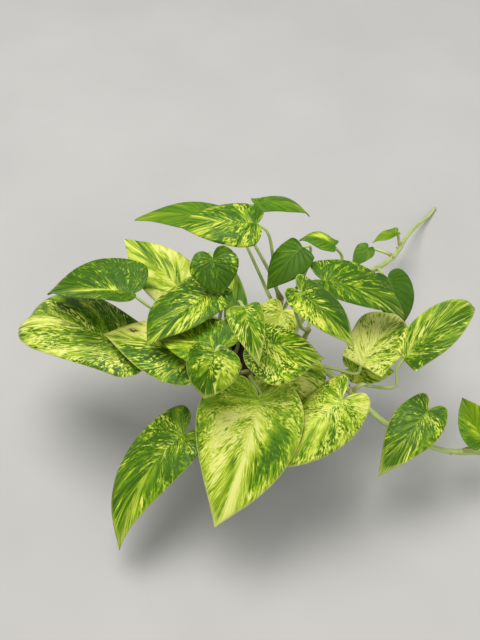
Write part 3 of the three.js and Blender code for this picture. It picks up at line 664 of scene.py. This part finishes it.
# The stalk: out of its stem, up to a knee behind the notch, then on under the midrib as a keel.
def add_stalk(part, leaf):
    root = stem_point(leaf["stem"], leaf["start"])
    notch, along, _, out = (v.reshape(3) for v in midrib_frame(leaf, 0))
    under_notch = notch - out * (STALK_TOP_RADIUS + KEEL_SINK)
    way = under_notch - root
    span = np.linalg.norm(way)
    rise = max(way[2], 0) / span
    leave = unit(np.append(unit(way[:2]), LEAVE_SLOPE + LEAVE_RISE * rise))
    knee = under_notch - along * KNEE_BACK * span - UP * KNEE_DROP * span
    path = [root, root + leave * LEAVE_SHARE * span, *leaf["via"], knee, under_notch]
    points, length = spaced_points(path, STALK_STEPS)
    share = np.linspace(0, 1, STALK_STEPS + 1)
    radii = STALK_ROOT_RADIUS + (STALK_TOP_RADIUS - STALK_ROOT_RADIUS) * share
    radii *= 1 + SHEATH_SWELL * bump(share * length, SHEATH_LENGTH)
    radii *= 1 + KNEE_SWELL * bump((share - 1) * length + KNEE_LENGTH, KNEE_LENGTH)
    keel_share = np.linspace(0, 1, KEEL_STEPS + 1)[1:]
    keel_radii = STALK_TOP_RADIUS + (KEEL_END_RADIUS - STALK_TOP_RADIUS) * keel_share
    keel, _, _, keel_out = midrib_frame(leaf, keel_share * KEEL_REACH * leaf["length"])
    keel = keel - keel_out * (keel_radii + KEEL_SINK)[:, None]
    rust = SHEATH_RUST * bump(share * length, SHEATH_RUST_LENGTH)
    add_tube(
        part,
        np.concatenate([points, keel]),
        np.concatenate([radii, keel_radii]),
        STALK_SIDES,
        slot=1,
        channel=CHANNEL_DEPTH,
        rust=np.append(rust, np.zeros(KEEL_STEPS)),
    )


# The point of a stem's centre line at a share of its length.
def stem_point(name, share):
    points, _ = spaced_points(STEMS[name], CURVE_SAMPLES)
    return points[round(share * CURVE_SAMPLES)]


# A stem, swollen and ringed at its nodes, with the brown stubs of air roots under them.
def make_stem(name, material):
    part = Part()
    _, length = spaced_points(STEMS[name], 1)
    steps = math.ceil(length / STEM_STEP)
    points, _ = spaced_points(STEMS[name], steps)
    share = np.linspace(0, 1, steps + 1)
    radii = STEM_RADIUS + (STEM_END_RADIUS - STEM_RADIUS) * share**2
    starts = [leaf["start"] for leaf in LEAVES if leaf["stem"] == name]
    reaches = np.array([(share - start) * length for start in starts])
    swell = bump(reaches, NODE_LENGTH).max(axis=0)
    ring = bump(reaches + RING_BACK, RING_LENGTH).max(axis=0)
    radii *= 1 + NODE_SWELL * swell + RING_SWELL * ring
    add_tube(part, points, radii, STEM_SIDES, rust=RING_RUST * ring + NODE_RUST * swell)
    steps_out = np.arange(STUB_STEPS + 1)
    stub_radii = STUB_RADIUS * (1 - STUB_TAPER * steps_out)
    for i, start in enumerate(starts):
        place = round(start * steps * STUB_SHARE)
        along = unit(points[min(place + 1, steps)] - points[place - 1])
        turned = np.array((math.cos(STUB_TURN * i), math.sin(STUB_TURN * i), STUB_TILT))
        out = unit(unit(np.cross(along, turned)) - STUB_LEAN * along)
        reach = radii[place] * STUB_SINK + STUB_LENGTH * steps_out / STUB_STEPS
        stub = points[place] - along * STUB_BACK + np.outer(reach, out)
        add_tube(part, stub, stub_radii, STUB_SIDES, rust=1)
    part.finish(name, [material], "stem")


# A leaf: blade and stalk.
def make_leaf(leaf, stalk_skin):
    part = Part()
    add_blade(part, leaf)
    add_stalk(part, leaf)
    skin = leaf_material(leaf, LEAVES.index(leaf) * SEED_STEP)
    part.finish(leaf["name"], [skin, stalk_skin], leaf["finish"])


# Gives a node its inputs by name or number, each a value or another node's output.
def feed(tree, made, inputs):
    for name, value in inputs.items():
        if isinstance(value, bpy.types.NodeSocket):
            tree.links.new(value, made.inputs[name])
        else:
            made.inputs[name].default_value = value


# A node of a material, with its inputs and settings.
def node(tree, kind, inputs, **settings):
    made = tree.nodes.new("ShaderNode" + kind)
    for name, value in settings.items():
        setattr(made, name, value)
    feed(tree, made, inputs)
    return made


def maths(tree, operation, *values):
    return node(tree, "Math", dict(enumerate(values)), operation=operation).outputs[0]


def vector_maths(tree, operation, *values):
    return node(tree, "VectorMath", dict(enumerate(values)), operation=operation).outputs[0]


def attribute(tree, name, output="Fac"):
    return node(tree, "Attribute", {}, attribute_name=name).outputs[output]


def mix(tree, share, first, second):
    inputs = {0: share, 6: opaque(first), 7: opaque(second)}
    return node(tree, "Mix", inputs, data_type="RGBA").outputs[2]


def opaque(colour):
    return (*colour, 1) if isinstance(colour, tuple) else colour


def ramp(tree, share, stops):
    made = node(tree, "ValToRGB", {0: share})
    elements = made.color_ramp.elements
    while len(elements) < len(stops):
        elements.new(0.5)
    for element, (place, colour) in zip(elements, stops):
        element.position = place
        element.color = opaque(colour)
    return made.outputs[0]


# A value mapped from one range to another, held at its ends.
def mapped(tree, value, low, high, to_low=0, to_high=1):
    return node(tree, "MapRange", {0: value, 1: low, 2: high, 3: to_low, 4: to_high}).outputs[0]


# Where a point lies on its object, in metres.
def object_place(tree):
    return node(tree, "TexCoord", {}).outputs["Object"]


# A noise as a value and as a colour.
def noise_texture(tree, place, scale, detail, roughness=0.5):
    inputs = {"Vector": place, "Scale": scale, "Detail": detail, "Roughness": roughness}
    return node(tree, "TexNoise", inputs).outputs


# Noise drawn out along the grain, with its size across and along it in millimetres.
def grain(tree, place, across, along, detail):
    scaled = vector_maths(tree, "MULTIPLY", place, (1 / across, 1 / along, 1))
    return noise_texture(tree, scaled, 1, detail, GRAIN_ROUGHNESS)[0]


# A bumpy normal, with the depth of its bumps in millimetres, over the surface's own or another.
def bumped(tree, height, strength, depth, **normal):
    inputs = {"Strength": strength, "Distance": depth * MM, "Height": height, **normal}
    return node(tree, "Bump", inputs).outputs[0]


# A new material and its node tree.
def new_material(name):
    material = bpy.data.materials.new(name)
    material.use_nodes = True
    return material, material.node_tree


# Gives a material's shader its inputs.
def shade(tree, **inputs):
    inputs = {name.replace("_", " "): value for name, value in inputs.items()}
    feed(tree, tree.nodes["Principled BSDF"], inputs)


def blend_colour(first, second, share):
    return tuple(a + (b - a) * share for a, b in zip(first, second))


# A blade's skin: green, marbled with lime and cream in streaks that run along the side ribs, a pale
# midrib and margin, and a duller, paler underside. The pale line round the margin is partly the
# margin's own colour and partly painted glow, standing in for light through the thin edge.
def leaf_material(leaf, seed):
    material, tree = new_material(leaf["name"])
    vein = attribute(tree, "vein", "Vector")
    across, along, inwards = node(tree, "SeparateXYZ", {0: vein}).outputs
    apart = maths(tree, "MULTIPLY", maths(tree, "SIGN", along), HALVES_APART)
    flat = {0: maths(tree, "ADD", across, apart), 1: along, 2: seed}
    flat = node(tree, "CombineXYZ", flat).outputs[0]
    place = flat
    for scale, reach in DRIFTS:
        drift = noise_texture(tree, flat, scale, 1)[1]
        drift = vector_maths(tree, "SUBTRACT", drift, (0.5, 0.5, 0.5))
        drift = vector_maths(tree, "MULTIPLY", drift, (reach, reach, 0))
        place = vector_maths(tree, "ADD", place, drift)

    blotches, streaks, specks = (grain(tree, place, *size) for size in GRAINS)
    swings = [
        maths(tree, "MULTIPLY", maths(tree, "SUBTRACT", value, 0.5), SWING * strength)
        for value, strength in zip((blotches, streaks, specks), leaf["grains"])
    ]
    crowd = mapped(tree, noise_texture(tree, flat, CROWD_SCALE, 1)[0], *CROWD_RANGE)
    fine = maths(tree, "MULTIPLY", maths(tree, "ADD", swings[1], swings[2]), crowd)
    broad = maths(tree, "ADD", attribute(tree, "pale"), swings[0])
    green = blend_colour(LEAF_GREEN, DEEP_GREEN, leaf["deep"])
    darkest = blend_colour(green, DEEP_GREEN, DARKEST_SHARE)
    palest = blend_colour(CREAM, YELLOW, leaf["yellow"])
    colours = (darkest, green, YELLOW_GREEN, LIME, palest)
    colour = ramp(tree, maths(tree, "ADD", broad, fine), list(zip(COLOUR_PLACES, colours)))

    on_midrib = mapped(tree, maths(tree, "ABSOLUTE", along), *MIDRIB_LINE, leaf["midrib"], 0)
    colour = mix(tree, on_midrib, colour, blend_colour(LIME, green, MIDRIB_GREEN))
    # Pale line round the margin: partly its own colour, partly painted glow of light through the
    # thin edge.
    rim_colour_and_glow = mapped(tree, inwards, *RIM_LINE, leaf["rim"], 0)
    colour = mix(tree, rim_colour_and_glow, colour, blend_colour(LIME, CREAM, leaf["rim"]))
    spotted = maths(tree, "MULTIPLY", attribute(tree, "rust"), mapped(tree, specks, 0.35, 0.6))
    colour = mix(tree, spotted, colour, BROWN_SPOT)
    below = maths(tree, "SUBTRACT", 1.0, attribute(tree, "face"))
    colour = mix(tree, maths(tree, "MULTIPLY", below, UNDERSIDE_SHARE), colour, UNDERSIDE)

    roughness = mapped(tree, streaks, *NOISE_RANGE, 0.4, 0.52)
    roughness = maths(tree, "ADD", roughness, maths(tree, "MULTIPLY", below, UNDERSIDE_DULLNESS))
    streaked = bumped(tree, streaks, 0.5, 0.6)
    speckled = bumped(tree, specks, 0.2, 0.2, Normal=streaked)
    shade(tree, Base_Color=colour, Roughness=roughness, Normal=speckled)
    shade(tree, Specular_IOR_Level=LEAF_SPECULAR)
    return material


# The skin of stalks and stems: pale green streaked along its length, rusty where it is marked.
def stalk_material():
    material, tree = new_material("stalk")
    vein = attribute(tree, "vein", "Vector")
    streaks = grain(tree, vein, 1.3, 22, 3)
    mottle = grain(tree, vein, 0.8, 2.5, 2)
    colour = mix(tree, mapped(tree, streaks, 0.35, 0.68), STALK_GREEN, STALK_PALE)
    colour = mix(tree, mapped(tree, mottle, 0.45, 0.8, 0, 0.25), colour, LEAF_GREEN)
    colour = mix(tree, attribute(tree, "rust"), colour, mix(tree, mottle, STALK_RUST, ROOT_BROWN))
    shade(tree, Base_Color=colour, Normal=bumped(tree, streaks, 0.3, 0.4))
    shade(tree, Roughness=mapped(tree, mottle, *NOISE_RANGE, 0.34, 0.5))
    return material


# A skin for crumbs, bark or grit: lumps of a width in millimetres between two colours.
def soil_material(name, dark, light, width):
    material, tree = new_material(name)
    where = object_place(tree)
    scale = 1 / (width * MM)
    broad = noise_texture(tree, where, scale / 4, 3)[0]
    lumps = node(tree, "TexVoronoi", {"Vector": where, "Scale": scale}).outputs["Distance"]
    share = maths(tree, "MULTIPLY", mapped(tree, broad, 0.35, 0.65), mapped(tree, lumps, 0, 0.6))
    shade(tree, Base_Color=mix(tree, share, dark, light))
    shade(tree, Normal=bumped(tree, lumps, 0.7, 0.6))
    shade(tree, Roughness=mapped(tree, broad, *NOISE_RANGE, 0.8, 0.98))
    return material


# The pot's skin: black moulded plastic with a faint grain, greyer where it is scuffed and dusty.
def pot_material():
    material, tree = new_material("pot_plastic")
    where = object_place(tree)
    scuffs = noise_texture(tree, where, 60, 5, 0.7)[0]
    orange_peel = noise_texture(tree, where, 1400, 2)[0]
    worn = mapped(tree, scuffs, 0.52, 0.72, 0, 0.7)
    shade(tree, Base_Color=mix(tree, worn, POT_BLACK, POT_WORN))
    shade(tree, Normal=bumped(tree, orange_peel, 0.25, 0.2))
    shade(tree, Roughness=mapped(tree, scuffs, *NOISE_RANGE, 0.38, 0.62))
    return material


# The floor's skin: pale and matt, very faintly clouded.
def floor_material():
    material, tree = new_material("floor")
    cloud = mapped(tree, noise_texture(tree, object_place(tree), 6, 4)[0], *NOISE_RANGE)
    shade(tree, Base_Color=mix(tree, cloud, FLOOR_CLOUD, FLOOR_PALE), Roughness=0.9)
    return material


# A profile with its corners rounded: each corner is (radius, height, size of its rounding).
def rounded_profile(corners):
    points = []
    for i, (x, z, size) in enumerate(corners):
        here = np.array((x, z), float)
        if size == 0:
            points.append(here)
            continue
        start = here + unit(np.array(corners[i - 1][:2]) - here) * size
        end = here + unit(np.array(corners[i + 1][:2]) - here) * size
        for k in range(ROUND_STEPS + 1):
            t = k / ROUND_STEPS
            points.append(start * (1 - t) ** 2 + 2 * here * t * (1 - t) + end * t * t)
    return points


# A profile turned round the Z axis: its first and last points lie on the axis.
def add_turned(part, profile, sides):
    points = [(0, 0, profile[0][1])]
    for radius, height in profile[1:-1]:
        for k in range(sides):
            angle = 2 * math.pi * k / sides
            points.append((radius * math.cos(angle), radius * math.sin(angle), height))
    points.append((0, 0, profile[-1][1]))
    faces = []
    for k in range(sides):
        after = (k + 1) % sides
        faces.append((0, 1 + after, 1 + k))
        for i in range(len(profile) - 3):
            low, high = 1 + i * sides, 1 + (i + 1) * sides
            faces.append((low + k, low + after, high + after, high + k))
        last = 1 + (len(profile) - 3) * sides
        faces.append((last + k, last + after, len(points) - 1))
    part.add(points, faces)


# The pot, its wall and floor turned in one piece.
def make_pot():
    band_foot = POT_HEIGHT - POT_RIM_BAND
    band_inner = POT_RIM_RADIUS - RIM_THICKNESS
    profile = rounded_profile([
        (0, 0, 0),
        (POT_BASE_RADIUS, 0, FOOT_ROUND),
        (POT_NECK_RADIUS, band_foot - RIM_STEP, RIM_STEP / 2),
        (band_inner, band_foot, RIM_STEP / 2),
        (POT_RIM_RADIUS, POT_HEIGHT, RIM_ROUND),
        (band_inner, POT_HEIGHT, RIM_ROUND / 2),
        (band_inner - POT_WALL, band_foot + POT_WALL, RIM_ROUND),
        (POT_NECK_RADIUS - POT_WALL, band_foot, RIM_ROUND),
        (POT_BASE_RADIUS - POT_DRAFT, POT_FLOOR, RIM_ROUND),
        (0, POT_FLOOR, 0),
    ])
    part = Part()
    add_turned(part, profile, POT_SIDES)
    cut_drain_holes(part.finish("pot", [pot_material()], "pot_plastic"))


# Round holes cut through the foot, where the wall meets the floor. Their edges are marked as sharp,
# so that the wall round them is shaded smoothly.
def cut_drain_holes(pot):
    shapes = bmesh.new()
    reach = (POT_BASE_RADIUS - HOLE_INSET) * MM
    for i in range(HOLES):
        angle = 2 * math.pi * (i + 0.5) / HOLES
        made = bmesh.ops.create_cone(
            shapes, cap_ends=True, segments=HOLE_SIDES, radius1=HOLE_RADIUS * MM,
            radius2=HOLE_RADIUS * MM, depth=2 * HOLE_HEIGHT * MM,
        )
        centre = (reach * math.cos(angle), reach * math.sin(angle), 0)
        bmesh.ops.translate(shapes, verts=made["verts"], vec=centre)
    cutter_mesh = bpy.data.meshes.new("drain_holes")
    shapes.to_mesh(cutter_mesh)
    shapes.free()
    cutter = bpy.data.objects.new("drain_holes", cutter_mesh)
    bpy.context.scene.collection.objects.link(cutter)
    cut = pot.modifiers.new("drain_holes", "BOOLEAN")
    cut.operation = "DIFFERENCE"
    cut.object = cutter
    evaluated = pot.evaluated_get(bpy.context.evaluated_depsgraph_get())
    mesh = bpy.data.meshes.new_from_object(evaluated)
    mesh.set_sharp_from_angle(angle=SHARP_ANGLE)
    pot.modifiers.clear()
    pot.data = mesh
    bpy.data.objects.remove(cutter)


# The height of the mix's top at a place: broad lumps, with crumbs on them.
def soil_height(x, y):
    broad = math.sin(x / LUMP_WIDTH + 1) * math.sin(y / LUMP_WIDTH)
    fine = math.sin((x - y) / FINE_LUMP_WIDTH)
    crumbs = noise.noise(Vector((x, y, 0)) / CRUMB_WIDTH)
    crumbs += FINE_CRUMB_SHARE * noise.noise(Vector((x, y, 9)) * 2 / CRUMB_WIDTH)
    lumps = SOIL_LUMP / 2 * (LUMP_SHARE * broad + FINE_LUMP_SHARE * fine)
    return SOIL_TOP + lumps + CRUMB_HEIGHT * crumbs


# The mix: a plug that fills the pot, crumbly on top, with bits of bark and grit lying on it.
def make_soil():
    bottom = POT_FLOOR + FIT_GAP
    wall_foot = POT_BASE_RADIUS - POT_DRAFT
    slope = (POT_NECK_RADIUS - POT_WALL - wall_foot) / (POT_HEIGHT - POT_RIM_BAND - POT_FLOOR)
    foot_radius = wall_foot - FIT_GAP
    shoulder = SOIL_TOP - SOIL_LUMP
    top_radius = foot_radius + slope * (shoulder - bottom)
    rings = [(0, bottom), (foot_radius, bottom), (top_radius, shoulder)]
    rings += [(top_radius * ring / SOIL_RINGS, SOIL_TOP) for ring in range(SOIL_RINGS - 1, -1, -1)]
    part = Part()
    add_turned(part, rings, SOIL_SIDES)
    part.points = [(x, y, soil_height(x, y) if z == SOIL_TOP else z) for x, y, z in part.points]
    draw = random.Random(BITS_SEED)
    ball = bmesh.new()
    bmesh.ops.create_icosphere(ball, subdivisions=1, radius=1)
    corners = np.array([v.co for v in ball.verts])
    faces = [tuple(v.index for v in face.verts) for face in ball.faces]
    ball.free()
    for i in range(BARK_BITS + PERLITE_BITS):
        size = draw.uniform(*BIT_SIZES)
        reach = (top_radius - BIT_MARGIN) * math.sqrt(draw.random())
        angle = draw.uniform(0, 2 * math.pi)
        x, y = reach * math.cos(angle), reach * math.sin(angle)
        bark = i < BARK_BITS
        turn = draw.uniform(0, math.pi)
        dents = [noise.noise(Vector(c) * DENTS_PER_BIT + Vector((i, 0, 0))) for c in corners]
        uneven = 1 - BIT_DENTS + BIT_DENTS * np.array(dents)
        bit = corners * uneven[:, None] * np.array(BARK_SHAPE if bark else PERLITE_SHAPE) * size
        turned = bit @ np.array([
            (math.cos(turn), math.sin(turn), 0), (-math.sin(turn), math.cos(turn), 0), (0, 0, 1),
        ])
        place = np.array((x, y, soil_height(x, y) + BIT_LIFT * size))
        part.add(turned + place, faces, 1 if bark else 2)
    materials = [
        soil_material("soil", SOIL_DARK, SOIL_BROWN, 1.1),
        soil_material("bark", SOIL_BROWN, BARK, 0.9),
        soil_material("perlite", blend_colour(PERLITE, SOIL_BROWN, 0.4), PERLITE, 0.6),
    ]
    part.finish("potting_mix", materials, "soil")


# Stage: a pale floor, a wide soft light over the plant from behind its left and two weaker ones.
FLOOR_SIZE = 8
LIGHTS = [
    ("key", (-0.4, 0.25, 1.7), 1.1, 27, (1.0, 0.98, 0.94)),
    ("front", (0.7, -1.2, 1.1), 1.2, 7, (1.0, 0.99, 0.97)),
    ("side", (1.3, 0.6, 0.9), 1.0, 3, (0.97, 0.98, 1.0)),
]
LIGHT_TARGET = Vector((0, 0.02, 0.1))
SKY = (0.97, 0.98, 1.0)
SKY_STRENGTH = 0.42

# Camera: a 52 mm lens, 0.77 m from a point inside the plant, looking down at 50 degrees.
LENS = 52
CAMERA_TARGET = Vector((-0.018, 0.044, 0.107))
CAMERA_DISTANCE = 0.77
CAMERA_ELEVATION = math.radians(50)


def make_camera():
    data = bpy.data.cameras.new("camera")
    data.lens = LENS
    camera = bpy.data.objects.new("camera", data)
    back = Vector((0, -math.cos(CAMERA_ELEVATION), math.sin(CAMERA_ELEVATION)))
    camera.location = CAMERA_TARGET + back * CAMERA_DISTANCE
    camera.rotation_euler = (math.pi / 2 - CAMERA_ELEVATION, 0, 0)
    bpy.context.scene.collection.objects.link(camera)
    bpy.context.scene.camera = camera


def make_stage():
    mesh = bpy.data.meshes.new("floor")
    half = FLOOR_SIZE / 2
    corners = [(-half, -half, 0), (half, -half, 0), (half, half, 0), (-half, half, 0)]
    mesh.from_pydata(corners, [], [(0, 1, 2, 3)])
    mesh.materials.append(floor_material())
    floor = bpy.data.objects.new("floor", mesh)
    bpy.context.scene.collection.objects.link(floor)
    for name, place, size, power, colour in LIGHTS:
        data = bpy.data.lights.new(name, "AREA")
        data.size = size
        data.energy = power
        data.color = colour
        light = bpy.data.objects.new(name, data)
        light.location = place
        light.rotation_euler = (LIGHT_TARGET - light.location).to_track_quat("-Z", "Y").to_euler()
        bpy.context.scene.collection.objects.link(light)
    world = bpy.data.worlds.new("sky")
    world.use_nodes = True
    background = world.node_tree.nodes["Background"]
    background.inputs[0].default_value = opaque(SKY)
    background.inputs[1].default_value = SKY_STRENGTH
    bpy.context.scene.world = world
    bpy.context.scene.view_settings.view_transform = "Standard"


make_camera()
make_stage()
make_pot()
make_soil()
stalk = stalk_material()
for stem in STEMS:
    make_stem(stem, stalk)
for leaf in LEAVES:
    make_leaf(leaf, stalk)
